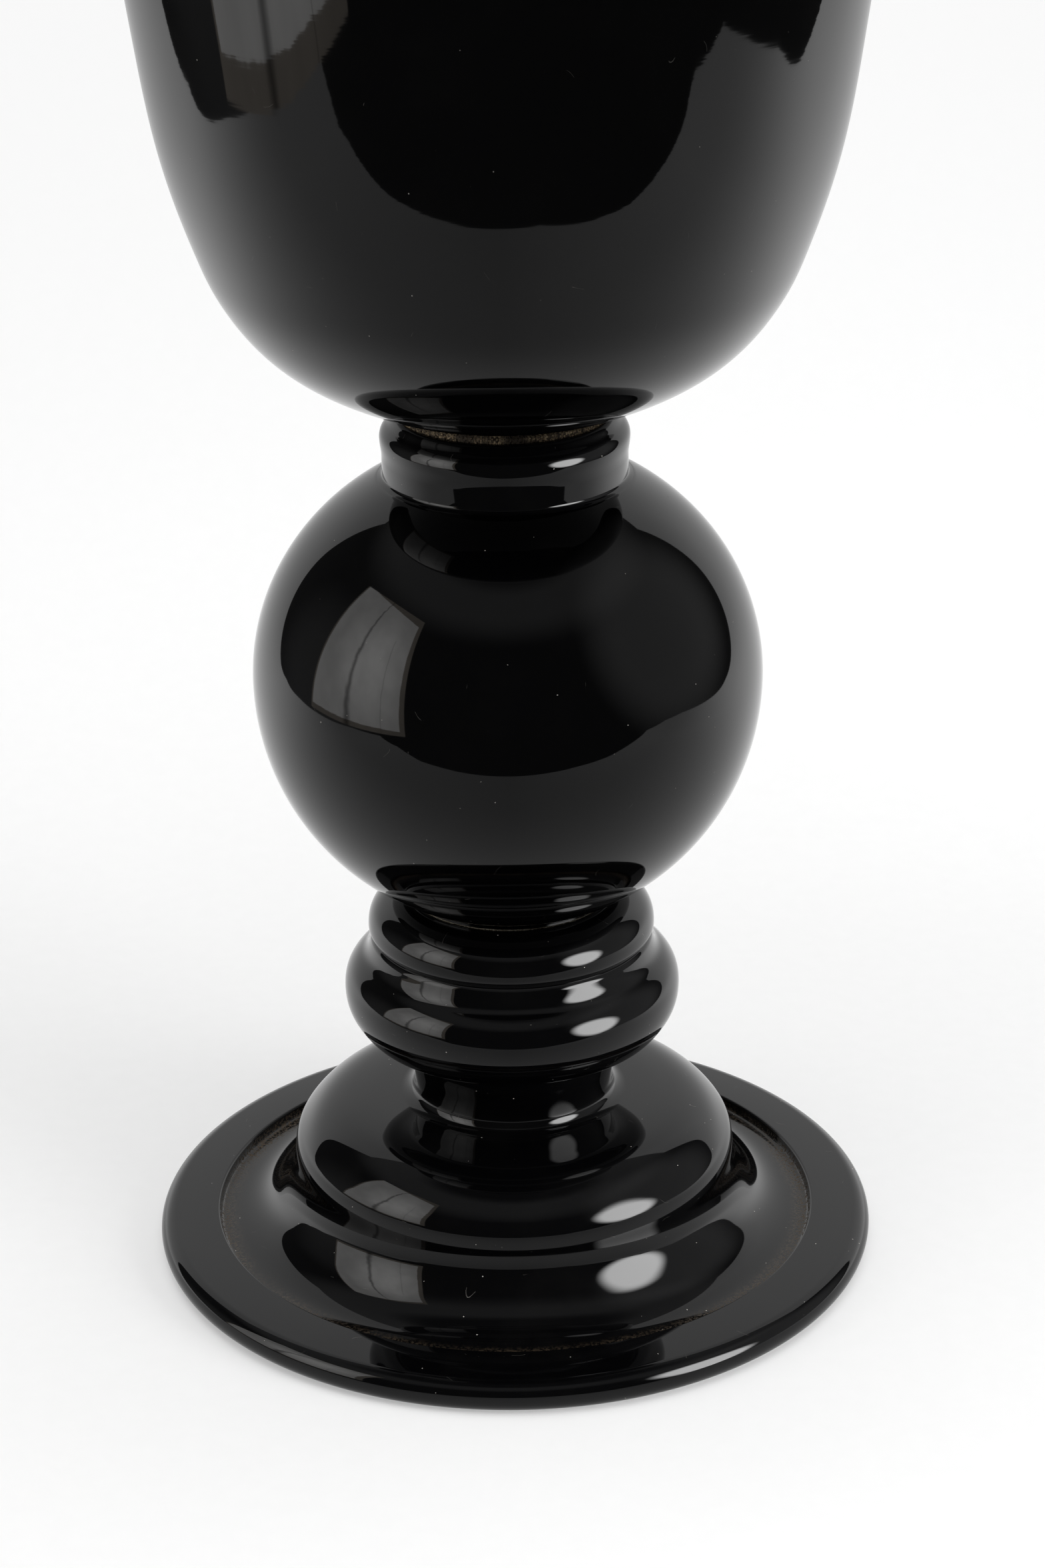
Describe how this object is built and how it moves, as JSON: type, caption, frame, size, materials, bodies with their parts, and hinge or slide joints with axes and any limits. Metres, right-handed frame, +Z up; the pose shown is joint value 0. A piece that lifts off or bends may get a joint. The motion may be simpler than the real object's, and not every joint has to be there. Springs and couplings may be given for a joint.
{
  "type": "footed glass vase",
  "caption": "Tall black glass vase: a bell-shaped bowl on a hollow ball and a ringed, domed foot, drawn together by a tie rod.",
  "frame": {"origin": "middle of the ring-shaped face that the foot rests on", "axes": "+Z up along the vase's axis, from the foot to the mouth"},
  "size_m": [0.286, 0.286, 0.5422],
  "materials": {
    "glass_foot": "gloss",
    "cement_bed": "matte",
    "glass_ball": "gloss",
    "cork_ring": "matte",
    "glass_bowl": "gloss",
    "tie_rod": "satin",
    "cap_nut": "polished",
    "bowl_washer": "satin",
    "bowl_seal": "matte",
    "under_pad": "matte",
    "foot_washer": "satin",
    "spring_washer": "satin",
    "rod_nut": "satin",
    "lock_nut": "satin"
  },
  "bodies": {
    "root": {"glass_foot": "glass_foot", "cement_bed": "cement_bed", "glass_ball": "glass_ball", "cork_ring": "cork_ring", "glass_bowl": "glass_bowl", "tie_rod": "tie_rod", "cap_nut": "cap_nut", "bowl_washer": "bowl_washer", "bowl_seal": "bowl_seal", "under_pad": "under_pad", "foot_washer": "foot_washer", "spring_washer": "spring_washer", "rod_nut": "rod_nut", "lock_nut": "lock_nut"}
  },
  "joints": []
}
